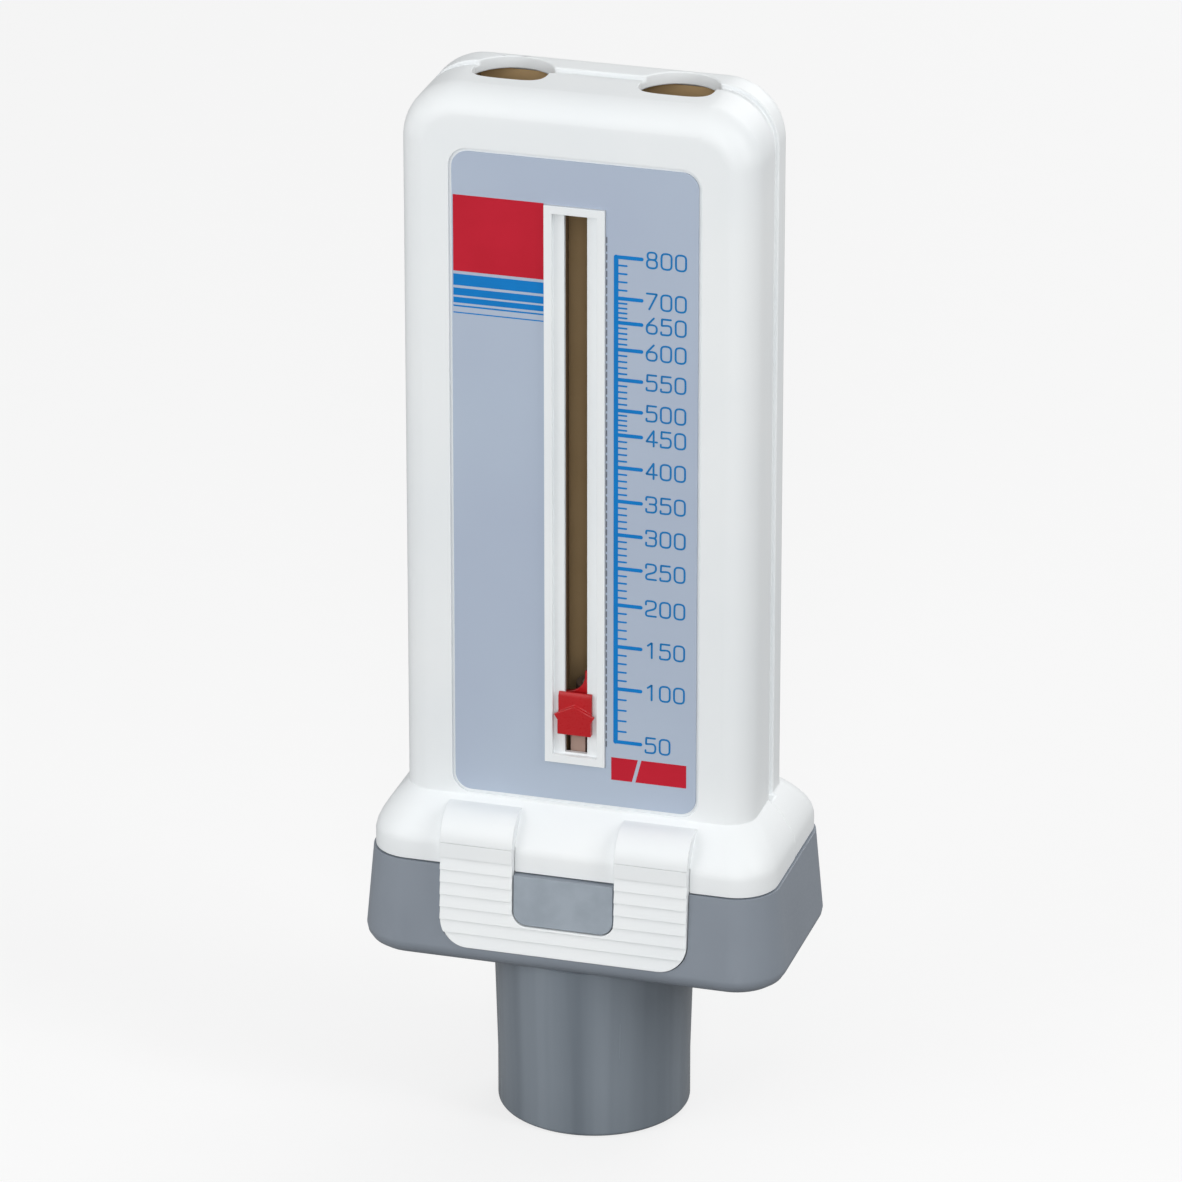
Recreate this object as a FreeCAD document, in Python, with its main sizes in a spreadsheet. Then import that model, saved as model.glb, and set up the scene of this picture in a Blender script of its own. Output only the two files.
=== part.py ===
import FreeCAD, Part
import math
import os
import re

import Sketcher

# Peak flow meter. Millimetres, +Z up, the printed face looks along -Y.
# The origin is the centre of the open end of the inlet stub.

document = FreeCAD.newDocument("peak_flow_meter")

# Driving sizes in millimetres and degrees, each set by itself.
SIZES = {
    # Inlet stub: the round tube that the paper mouthpiece slides over.
    "stub_mouth_radius": 14.0,  # outer radius at the open end
    "stub_straight": 8.0,  # length of the straight part at the open end
    "stub_draft": 1.6,  # degrees that the outside opens above that part
    "stub_bore_radius": 12.2,  # inner radius, straight
    "stub_visible": 26.6,  # length below the base
    "stub_spigot_radius": 13.5,  # outer radius of the part inside the base floor
    "glue_gap": 0.05,  # radial room of the joint between the stub and the base
    # Base housing: the grey foot that unclips for cleaning.
    "base_height": 14.85,  # from its underside to the seam
    "seam_gap": 0.2,  # open line between the base and the casing
    "base_step": 0.3,  # how far the base stands out beyond the skirt at the seam
    "base_draft": 5.2,  # degrees that the walls open going down
    "base_edge_radius": 2.5,  # round on the lower edge
    "base_floor": 3.0,  # floor thickness
    "spigot_height": 2.0,  # how far the base rim reaches up into the casing
    "spigot_wall": 1.4,  # wall of that rim
    "spigot_gap": 0.15,  # room between the rim and the casing
    "seal_height": 0.6,  # thickness of the seal on the rim
    "seal_inset": 0.15,  # how far the seal stands back from the rim's faces
    "hook_half_width": 8.0,  # half width of the hook at the back of the rim
    "hook_height": 1.2,  # its height
    "hook_reach": 0.8,  # how far it reaches into the rear shell
    "hook_gap": 0.25,  # room round the hook
    # Skirt: where the casing widens to meet the base.
    "skirt_half_width": 29.8,  # half width at the seam
    "skirt_half_depth": 15.0,  # half depth at the seam
    "skirt_corner": 6.0,  # radius of the front corners in plan
    "skirt_back_corner": 4.6,  # radius of the rear corners in plan
    "skirt_wall_height": 2.4,  # height of the upright band above the seam
    "shoulder_height": 6.4,  # height of the curved shoulder above that band
    # Casing: two moulded shells that meet along the sides.
    "casing_half_width": 25.8,  # half width of the tall part
    "casing_half_depth": 9.9,  # half depth of the tall part
    "casing_top": 157.0,  # height of the top face above the origin
    "casing_corner": 8.5,  # radius of the top corners seen from the front
    "casing_edge": 4.2,  # round on the front and back edges
    "wall": 1.9,  # wall of both shells
    "part_line": 0.4,  # y of the plane where the shells meet
    "groove_width": 2.4,  # width of the shadow groove behind the front shell
    "groove_depth": 0.7,  # depth of that groove
    "groove_end": 50.0,  # height where the groove stops on the sides
    "vent_spacing": 24.0,  # between the two air outlets in the top
    "vent_radius": 6.1,  # radius of each outlet
    # Printed label and the frame of the pointer slot.
    "label_half_width": 17.8,  # half width of the film
    "label_low": 51.3,  # height of its lower edge
    "label_top_margin": 8.9,  # from its upper edge to the top of the casing
    "label_corner": 2.4,  # corner radius
    "label_film": 0.25,  # film thickness
    "label_margin": 0.45,  # gap all round between the film and its recess
    "label_recess": 0.35,  # depth of the recess in the front shell
    "frame_half_width": 4.4,  # half width of the raised frame round the slot
    "frame_low": 57.2,  # lower edge of the frame
    "frame_top_margin": 15.6,  # from the frame's upper edge to the top of the casing
    "frame_proud": 0.25,  # how far the frame stands in front of the casing face
    "frame_rim": 1.15,  # width of the frame's border
    "film_gap": 0.1,  # gap between the frame and the film
    "track_depth": 0.6,  # depth of the pointer track below the casing face
    "ledge": 0.7,  # thickness of the ledges beside the slot
    "slot_half_width": 1.65,  # half width of the open slot
    "slot_end": 0.3,  # ledge left at each end of the track
    "keeper_pocket": 3.9,  # half width of the channel behind the slot
    # Latch: the ribbed clip on the front that holds the base.
    "latch_half_width": 18.3,  # half width of the clip
    "latch_hinge_above_seam": 3.6,  # height of its flexing line above the seam
    "latch_length": 15.8,  # from the flexing line to its lower edge
    "latch_thickness": 1.35,  # plate thickness
    "latch_proud": 1.05,  # how far it stands in front of the skirt at the flexing line
    "latch_tilt": 2.5,  # degrees that it leans outward going down
    "latch_corner": 4.2,  # radius of its lower corners
    "latch_window_half_width": 7.55,  # half width of the opening between the legs
    "latch_bar": 4.3,  # height of the bar below the opening
    "latch_window_corner": 2.2,  # corner radius of the opening
    "latch_gap": 0.15,  # room round the plate
    "flex_gap": 0.05,  # thin line at its flexing edge
    "rib_start": 2.2,  # from the flexing line to the first rib
    "rib_pitch": 1.92,  # distance between ribs
    "rib_depth": 0.28,  # depth of each rib's step
    "catch_gap": 0.22,  # room between the catch block and the opening
    "catch_recess": 0.25,  # how far the catch block stays behind the clip's face
    "pad_radius": 4.5,  # round of the smooth pads above the flexing line
    # Flow duct: the tapered air channel inside the casing.
    "duct_wall": 1.2,  # wall of the duct
    "duct_gap": 0.15,  # room between the duct and the shells
    "duct_side_room": 4.2,  # room beside the duct at its top
    "duct_widening": 3.5,  # how much each side opens from the piston's rest to the top
    "duct_taper_start": 50.0,  # height where the duct starts to widen
    "duct_mouth": 38.0,  # height of the duct's lower end
    "duct_top_gap": 0.3,  # room between the duct and the casing top
    "duct_slot_half_width": 1.75,  # half width of the slot that the drive finger uses
    "slot_room": 0.8,  # room past the drive finger and the keeper at each end of that slot
    "flange_thickness": 1.0,  # flange that sits on the seal
    "flange_gap": 0.5,  # room between the flange and the skirt
    "bridge_half_width": 3.0,  # half width of the bar that holds the top of the rod
    "bridge_thickness": 2.0,  # its height
    "bridge_below_top": 5.0,  # from the duct's top to the bar's top
    "boss_length": 7.7,  # length of the boss below that bar, which sets the stroke
    "stop_reach": 1.3,  # how far the piston's rest ledges stand out from the duct walls
    "stop_height": 1.4,  # their height
    "stop_gap": 0.2,  # gap between the piston and its stops at each end of the stroke
    "lug_radius": 1.9,  # radius of the screw lugs
    "lug_overlap": 0.8,  # how far the lugs are sunk into the duct walls
    "lug_top_margin": 58.0,  # from the screws to the top of the casing
    "lug_length": 9.0,  # length of the lugs
    "screw_radius": 0.8,  # shank radius of the small screws
    "screw_head_radius": 1.5,  # radius of their flat heads
    "screw_head_height": 0.7,  # height of those heads, sunk in the plate
    "screw_length": 8.0,  # length under the face
    "screw_gap": 0.03,  # radial room round the shank
    "post_half_width": 2.0,  # half width of the square posts that join the two shells
    "post_low": 80.0,  # height of the lower posts
    "post_top_margin": 39.0,  # from the upper posts to the top of the casing
    "post_sink": 0.3,  # how far the posts merge with the side walls
    "peg_half_width": 0.9,  # half width of the square peg on each front post
    "peg_length": 4.0,  # its length
    "peg_gap": 0.05,  # room all round the peg in its socket
    # Rod, spring and buffers.
    "rod_radius": 1.0,  # guide rod
    "rod_gap": 0.03,  # radial room between the rod and its plain holes
    "grid_thickness": 1.3,  # plate that holds the lower end of the rod
    "grid_bar_half_width": 3.4,  # half width of its middle bar
    "grid_rim": 2.0,  # rim round its openings
    "clip_radius": 2.4,  # push-on clips at the rod's ends
    "clip_thickness": 0.6,  # thickness of those clips
    "rod_end": 0.6,  # rod left past each clip
    "spring_inner_radius": 1.5,  # return spring, closed at rest
    "spring_outer_radius": 2.3,  # outer radius of the return spring
    "spring_gap": 0.1,  # room at each end of the spring
    "buffer_thickness": 2.0,  # rubber buffer under the top bar
    # Piston and pointer.
    "piston_rest": 53.4,  # height of the piston plate's underside at rest
    "piston_plate": 1.5,  # plate thickness
    "piston_rim": 3.2,  # height of the turned-down rim
    "piston_wall": 0.9,  # wall of that rim
    "piston_side_gap": 0.5,  # gap beside the piston at rest
    "piston_face_gap": 0.4,  # gap in front of and behind the piston
    "hub_radius": 2.6,  # outer radius of the piston's hub
    "bush_radius": 1.7,  # outer radius of the bearing sleeve inside the hub
    "hub_below": 1.2,  # length of the hub below the plate
    "hub_above": 11.0,  # length of the hub above the plate
    "hub_gap": 0.05,  # running clearance on the rod
    "finger_half_width": 1.1,  # half width of the drive finger
    "finger_thickness": 1.5,  # its thickness
    "push_gap": 0.3,  # gap between the finger and the keeper at rest
    "pointer_low": 61.8,  # lower edge of the pointer at rest
    "pointer_height": 6.3,  # height of the pointer plate
    "pointer_half_width": 2.47,  # half width of the plate
    "pointer_plate": 0.5,  # plate thickness
    "pointer_gap": 0.1,  # room between the pointer and its track
    "pointer_bevel": 0.3,  # bevel on the plate's top edge
    "arrow_thickness": 0.5,  # how far the arrow stands in front of the plate
    "arrow_tip": 4.5,  # height of the arrow's point above the lower edge
    "arrow_barb": 3.0,  # height of the side points above the lower edge
    "arrow_barb_half_width": 3.0,  # half width over the side points
    "arrow_notch": 0.8,  # height of the notch under each side point
    "neck_half_width": 1.4,  # half width of the neck through the slot
    "neck_height": 5.0,  # height of the neck
    "keeper_half_width": 2.8,  # half width of the plate behind the slot
    "keeper_thickness": 0.55,  # thickness of that plate
    "leaf_side": 1.45,  # distance of the fin's upright edge from the middle
    "leaf_tip": 0.35,  # width of the fin at its tip
    "leaf_round": 2.7,  # radius of its hollow side
    "leaf_height": 3.4,  # height of the fin above the keeper
    "leaf_root": 0.5,  # how far the fin's root runs down into the keeper
}

sizes = document.addObject("Spreadsheet::Sheet", "sizes")
for row, (alias, number) in enumerate(SIZES.items(), start=1):
    sizes.set(f"A{row}", alias.replace("_", " "))
    sizes.set(f"B{row}", str(number))
    sizes.setAlias(f"B{row}", alias)
document.recompute()


def cells(text):
    """Turns bare size names in an expression into references to the sheet."""
    return re.sub(r"[a-z_]+", lambda m: "sizes." + m[0] if m[0] in SIZES else m[0], str(text))


def bind(item, **links):
    """Ties properties of an object to expressions; a double underscore stands for a dot."""
    for name, text in links.items():
        item.setExpression(name.replace("__", "."), cells(text))
    return item


def value(text):
    """Works out an expression now, for the first drawing of a sketch."""
    return float(sizes.evalExpression(cells(text)))


def add(kind, name):
    item = document.addObject(kind, name)
    item.Label = name
    return item


# Heights and planes that several pieces share, each worked out once.
LABEL_TOP = "(casing_top - label_top_margin)"
FRAME_TOP = "(casing_top - frame_top_margin)"
LUG_HEIGHT = "(casing_top - lug_top_margin)"
POST_HIGH = "(casing_top - post_top_margin)"
BASE_TOP = "(stub_visible + base_height)"
CASING_LOW = f"({BASE_TOP} + seam_gap)"
BAND_TOP = f"({CASING_LOW} + skirt_wall_height)"
FLOOR_TOP = "(stub_visible + base_floor)"
FACE = "(-casing_half_depth)"
INSIDE_FRONT = "(wall - casing_half_depth)"
INSIDE_SIDE = "(casing_half_width - wall)"
TRACK = f"({FACE} + track_depth)"
LEDGE_BACK = f"({TRACK} + ledge)"
DUCT_FRONT = f"({INSIDE_FRONT} + duct_gap)"
DUCT_INNER = f"({DUCT_FRONT} + duct_wall)"
DUCT_TOP = "(casing_top - wall - duct_top_gap)"
DUCT_HALF_HIGH = f"({INSIDE_SIDE} - duct_side_room - duct_wall)"
DUCT_HALF_LOW = f"({DUCT_HALF_HIGH} - duct_widening)"
BRIDGE_TOP = f"({DUCT_TOP} - bridge_below_top)"
BRIDGE_LOW = f"({BRIDGE_TOP} - bridge_thickness)"
RIM_TOP = f"({BASE_TOP} + spigot_height)"
FLANGE_LOW = f"({RIM_TOP} + seal_height)"
FLANGE_TOP = f"({FLANGE_LOW} + flange_thickness)"
RIM_INSET = "(wall + spigot_gap)"
RIM_HALF_DEPTH = f"(skirt_half_depth - {RIM_INSET})"
HINGE_Z = f"({CASING_LOW} + latch_hinge_above_seam)"
HINGE_Y = "(-skirt_half_depth - latch_proud)"
GRID_LOW = "(duct_mouth - grid_thickness)"
HUB_LOW = "(piston_rest - hub_below)"
HUB_TOP = "(piston_rest + piston_plate + hub_above)"
BUFFER_LOW = f"({BRIDGE_LOW} - boss_length - buffer_thickness)"
# The stroke of the piston and the pointer ends where the hub meets the buffer.
TRAVEL = f"({BUFFER_LOW} - stop_gap - {HUB_TOP})"
KEEPER_TOP = "(pointer_low + pointer_height - leaf_tip)"
LEAF_TOP = f"({KEEPER_TOP} + leaf_height)"
DUCT_SLOT_LOW = "(piston_rest - slot_room)"
DUCT_SLOT_HIGH = f"({LEAF_TOP} + {TRAVEL} + slot_room)"
POST_X = f"({INSIDE_SIDE} - post_half_width + post_sink)"
# How far a cutter reaches past what it cuts, and a distance outside the whole object.
PAST = "1"
BEYOND = "(2 * skirt_half_width)"


def duct_half(level):
    """Inner half width of the duct at a height on its tapered part."""
    rise = f"(({level}) - duct_taper_start) / ({DUCT_TOP} - duct_taper_start)"
    return f"({DUCT_HALF_LOW} + duct_widening * {rise})"


def draw(item, steps):
    """Fills a sketch with a closed outline. Each step is the next corner (x, y), both expressions.
    A third entry makes the way there a quarter arc of that radius, bulging outwards, or inwards
    when a fourth entry is True. The outline runs anticlockwise."""
    count = len(steps)
    points = [FreeCAD.Vector(value(step[0]), value(step[1]), 0) for step in steps]
    starts = []
    for index in range(count):
        here, step = points[index], steps[(index + 1) % count]
        there = points[(index + 1) % count]
        if len(step) == 2:
            item.addGeometry(Part.LineSegment(here, there))
            starts.append(1)
            continue
        hollow = len(step) == 4
        radius = value(step[2])
        corners = [FreeCAD.Vector(here.x, there.y, 0), FreeCAD.Vector(there.x, here.y, 0)]
        left = [c for c in corners if ((there - here).cross(c - here).z > 0) != hollow]
        first, last = (there, here) if hollow else (here, there)
        spokes = [first - left[0], last - left[0]]
        angles = [FreeCAD.Vector(1, 0, 0).getAngle(s) * (1 if s.y >= 0 else -1) for s in spokes]
        circle = Part.Circle(left[0], FreeCAD.Vector(0, 0, 1), radius)
        arc = item.addGeometry(Part.ArcOfCircle(circle, angles[0], angles[1]))
        starts.append(2 if hollow else 1)
        name = f"round_{arc}"
        item.renameConstraint(item.addConstraint(Sketcher.Constraint("Radius", arc, radius)), name)
        item.setExpression(f"Constraints.{name}", cells(step[2]))
    for index in range(count):
        after = (index + 1) % count
        item.addConstraint(Sketcher.Constraint("Coincident", index, 3 - starts[index], after, starts[after]))
        for axis, text in zip("XY", steps[index][:2]):
            name = f"corner_{index}_{axis.lower()}"
            rule = Sketcher.Constraint("Distance" + axis, -1, 1, index, starts[index], value(text))
            item.renameConstraint(item.addConstraint(rule), name)
            item.setExpression(f"Constraints.{name}", cells(text))
    return item


def rounded(x_low, x_high, y_low, y_high, radius, far_radius=None):
    """Steps of a rectangle with four round corners. Those at y_high may have a radius of their own."""
    far_radius = far_radius or radius
    return [
        (x_high, f"({y_low} + {radius})", radius), (x_high, f"({y_high} - {far_radius})"),
        (f"({x_high} - {far_radius})", y_high, far_radius), (f"({x_low} + {far_radius})", y_high),
        (x_low, f"({y_high} - {far_radius})", far_radius), (x_low, f"({y_low} + {radius})"),
        (f"({x_low} + {radius})", y_low, radius), (f"({x_high} - {radius})", y_low),
    ]


# Share of a round's radius that a 45 degree flat touching that round takes from each side.
FLAT_SHARE = round(2 - math.sqrt(2), 4)


def cornered(x_low, x_high, y_low, y_high, radius, far_radius=None):
    """Steps of the same rectangle with a flat across each corner in place of its round."""
    flats = [f"({FLAT_SHARE} * {r})" for r in (radius, far_radius or radius)]
    return [step[:2] for step in rounded(x_low, x_high, y_low, y_high, *flats)]


TURNS = {
    "XY": FreeCAD.Rotation(),
    "XZ": FreeCAD.Rotation(FreeCAD.Vector(1, 0, 0), 90),
    "YZ": FreeCAD.Rotation(FreeCAD.Vector(1, 1, 1), 120),
}
ACROSS = {"XY": "z", "XZ": "y", "YZ": "x"}


def sheet_outline(name, plane, level, steps):
    """A free sketch in a plane of the model, at a level along the third axis."""
    item = add("Sketcher::SketchObject", name)
    item.Placement = FreeCAD.Placement(FreeCAD.Vector(), TURNS[plane])
    item.setExpression(f"Placement.Base.{ACROSS[plane]}", cells(level))
    return draw(item, steps)


def slab(name, plane, low, high, steps):
    """An outline carried straight from one level to another along the plane's axis."""
    outline = sheet_outline(name + "_outline", plane, low, steps)
    item = add("Part::Extrusion", name)
    item.Base = outline
    item.DirMode = "Custom"
    item.Dir = FreeCAD.Vector(*[float(axis == ACROSS[plane]) for axis in "xyz"])
    item.Solid = True
    return bind(item, LengthFwd=f"({high}) - ({low})")


def box(name, x_low, x_high, y_low, y_high, z_low, z_high):
    item = add("Part::Box", name)
    bind(item, Length=f"({x_high}) - ({x_low})", Width=f"({y_high}) - ({y_low})")
    bind(item, Height=f"({z_high}) - ({z_low})")
    return bind(item, Placement__Base__x=x_low, Placement__Base__y=y_low, Placement__Base__z=z_low)


def upright(name, radius, z_low, z_high, x_place="0", y_place="0"):
    """A cylinder along Z."""
    item = add("Part::Cylinder", name)
    bind(item, Radius=radius, Height=f"({z_high}) - ({z_low})")
    return bind(item, Placement__Base__x=x_place, Placement__Base__y=y_place, Placement__Base__z=z_low)


def fore_and_aft(name, radius, y_low, y_high, x_place, z_place):
    """A cylinder along Y."""
    item = add("Part::Cylinder", name)
    item.Placement = FreeCAD.Placement(FreeCAD.Vector(), FreeCAD.Rotation(FreeCAD.Vector(1, 0, 0), -90))
    bind(item, Radius=radius, Height=f"({y_high}) - ({y_low})")
    return bind(item, Placement__Base__x=x_place, Placement__Base__y=y_low, Placement__Base__z=z_place)


def fuse(name, *pieces):
    item = add("Part::MultiFuse", name)
    item.Shapes = list(pieces)
    item.Refine = True
    return item


def cut(name, base, *tools):
    item = add("Part::Cut", name)
    item.Base = base
    item.Tool = tools[0] if len(tools) == 1 else fuse(name + "_cutters", *tools)
    item.Refine = True
    return item


def group(name, *pieces):
    """Separate solids that belong to one node."""
    item = add("Part::Compound", name)
    item.Links = list(pieces)
    return item


def body_sketch(body, name, role, level, steps):
    """A sketch on one of a body's own origin planes, set off along that plane's normal."""
    item = body.newObject("Sketcher::SketchObject", name)
    item.Label = name
    plane = [f for f in body.Origin.OriginFeatures if f.Role == role][0]
    item.AttachmentSupport = [(plane, "")]
    item.MapMode = "FlatFace"
    item.setExpression("AttachmentOffset.Base.z", cells(level))
    document.recompute()
    return draw(item, steps)


def edges_where(feature, test):
    """Names of a feature's edges whose box passes the test."""
    shape = feature.Shape
    return [f"Edge{i + 1}" for i, edge in enumerate(shape.Edges) if test(edge.BoundBox)]


def near(a, b):
    return abs(a - b) < 0.01


def tall_outline(inset, flats=False):
    """The tall part of the casing seen from the front, drawn in by an inset. Its top corners are round,
    or flats that touch the same rounds."""
    half, top = f"(casing_half_width - {inset})", f"(casing_top - {inset})"
    corner = f"(casing_corner - {inset})"
    if flats:
        corner = f"({FLAT_SHARE} * {corner})"
    steps = [
        (half, f"({top} - {corner})"), (f"({half} - {corner})", top, corner), (f"({corner} - {half})", top),
        (f"-{half}", f"({top} - {corner})", corner), (f"-{half}", BAND_TOP), (half, BAND_TOP),
    ]
    return [step[:2] for step in steps] if flats else steps


def tall_form(name, inset, flats=False):
    """The tall part of the closed casing, drawn in by an inset. Its front and back edges are rounded.
    A room inside it has flats that touch those rounds instead."""
    body = document.addObject("PartDesign::Body", name)
    depth = f"(casing_half_depth - {inset})"
    outline = body_sketch(body, name + "_outline", "XZ_Plane", f"-{depth}", tall_outline(inset, flats))
    pad = body.newObject("PartDesign::Pad", name + "_pad")
    pad.Profile = outline
    bind(pad, Length=f"2 * {depth}")
    document.recompute()
    level = value(depth)
    edge = f"(casing_edge - {inset})"
    soft = body.newObject("PartDesign::Chamfer" if flats else "PartDesign::Fillet", name + "_edges")
    soft.Base = (pad, edges_where(pad, lambda b: near(b.YMin, b.YMax) and near(abs(b.YMin), level)))
    bind(soft, **({"Size": f"{FLAT_SHARE} * {edge}"} if flats else {"Radius": edge}))
    body.Tip = soft
    return body


def stacked(name, levels, flats=False):
    """A form drawn straight through sections one above the other. Each level is its height, half width,
    half depth, front corner radius and rear corner radius."""
    sections = []
    for number, (height, x, y, corner, back_corner) in enumerate(levels):
        steps = (cornered if flats else rounded)(f"-{x}", x, f"-{y}", y, corner, back_corner)
        sections.append(sheet_outline(f"{name}_section_{number}", "XY", height, steps))
    item = add("Part::Loft", name)
    item.Sections = sections
    item.Solid = True
    item.Ruled = True
    return item


SHOULDER_STEPS = 6
SHOULDER_STEPS_INSIDE = 4
SHOULDER_POWER = 1.6


def skirt_form(name, inset, flats=False):
    """The upright band over the seam and the shoulder above it, drawn in by an inset. The shoulder leaves
    the band softly and meets the tall part at a slant: its flare falls off with a power of the height."""
    steps = SHOULDER_STEPS_INSIDE if flats else SHOULDER_STEPS
    rises = [(f"({CASING_LOW} - {inset})", 1.0)]
    for step in range(steps + 1):
        fraction = step / steps
        rises.append((f"({BAND_TOP} + {fraction:.4f} * shoulder_height)", 1 - fraction ** SHOULDER_POWER))
    levels = []
    for height, share in rises:
        pairs = (
            ("casing_half_width", "skirt_half_width"), ("casing_half_depth", "skirt_half_depth"),
            ("casing_edge", "skirt_corner"), ("casing_edge", "skirt_back_corner"),
        )
        levels.append([height] + [f"({a} + {share:.4f} * ({b} - {a}) - {inset})" for a, b in pairs])
    return stacked(name, levels, flats)


def skirt_plan(inset):
    """The outline of something held inside the skirt, drawn in from the outside of the seam."""
    names = ("skirt_half_width", "skirt_half_depth", "skirt_corner", "skirt_back_corner")
    x, y, corner, back_corner = (f"({name} - {inset})" for name in names)
    return cornered(f"-{x}", x, f"-{y}", y, corner, back_corner)


def casing_form(name, inset, flats=False):
    return fuse(name, tall_form(name + "_tall", inset, flats), skirt_form(name + "_skirt", inset, flats))


def latch_outline(grow, top):
    """The clip's U in its own frame: the flexing line is at height 0 and the plate hangs below it.
    Growing it gives the room that its neighbours leave."""
    half, low = f"(latch_half_width + {grow})", f"(-latch_length - {grow})"
    corner, bend = f"(latch_corner + {grow})", f"(latch_window_corner - {grow})"
    window, sill = f"(latch_window_half_width - {grow})", f"(latch_bar - latch_length + {grow})"
    return [
        (half, f"({low} + {corner})", corner), (half, top), (window, top),
        (window, f"({sill} + {bend})"), (f"({window} - {bend})", sill, bend, True),
        (f"-({window} - {bend})", sill), (f"-{window}", f"({sill} + {bend})", bend, True),
        (f"-{window}", top), (f"-{half}", top), (f"-{half}", f"({low} + {corner})"),
        (f"-({half} - {corner})", low, corner), (f"({half} - {corner})", low),
    ]


def lean(item):
    """Places a piece that is drawn in the clip's own frame: at the flexing line, leaning outward."""
    item.Placement = FreeCAD.Placement(FreeCAD.Vector(), FreeCAD.Rotation(FreeCAD.Vector(-1, 0, 0), 1))
    item.setExpression("Placement.Rotation.Angle", cells("latch_tilt * 1 deg"))
    return bind(item, Placement__Base__y=HINGE_Y, Placement__Base__z=HINGE_Z)


RIBS = 7


def base_latch():
    """A U-shaped plate with saw-tooth ribs across its face."""
    plate = slab("latch_plate", "XZ", "0", "latch_thickness", latch_outline("0", "0"))
    teeth = []
    for number in range(RIBS):
        step = f"(-rib_start - {number} * rib_pitch)"
        after = f"(-rib_start - {number + 1} * rib_pitch)"
        tooth = [("-rib_depth", after), ("0", after), ("rib_depth", step), ("-rib_depth", step)]
        teeth.append(slab(
            f"rib_cut_{number}", "YZ", f"-latch_half_width - {PAST}", f"latch_half_width + {PAST}", tooth,
        ))
    return lean(cut("base_latch", plate, *teeth))


def latch_room(name):
    """The hollow that the skirt and the base leave for the clip."""
    grown = latch_outline("latch_gap", "flex_gap")
    return lean(slab(name, "XZ", f"-latch_proud - 2 * {PAST}", "latch_thickness + latch_gap", grown))


def clip_pads():
    """Two smooth quarter-round pads that carry the clip's legs over the shoulder."""
    profile = [
        (FACE, f"({HINGE_Z} - {PAST})"), (FACE, f"({HINGE_Z} + pad_radius)"),
        (f"({HINGE_Y} + pad_radius)", f"({HINGE_Z} + pad_radius)"),
        (HINGE_Y, HINGE_Z, "pad_radius"), (HINGE_Y, f"({HINGE_Z} - {PAST})"),
    ]
    return [
        slab("right_pad", "YZ", "latch_window_half_width", "latch_half_width", profile),
        slab("left_pad", "YZ", "-latch_half_width", "-latch_window_half_width", profile),
    ]


def at_posts(name, half, y_low, y_high):
    """One square bar along Y at each of the four joining posts."""
    places = [(side, level) for side in ("", "-") for level in ("post_low", POST_HIGH)]
    return [
        box(
            f"{name}_{number}", f"({side}{POST_X} - {half})", f"({side}{POST_X} + {half})", y_low, y_high,
            f"({level} - {half})", f"({level} + {half})",
        )
        for number, (side, level) in enumerate(places)
    ]


def vents(name):
    return [
        upright(f"{name}_{side}", "vent_radius", f"casing_top - wall - {PAST}", f"casing_top + {PAST}", x)
        for side, x in (("left", "-vent_spacing / 2"), ("right", "vent_spacing / 2"))
    ]


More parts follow.
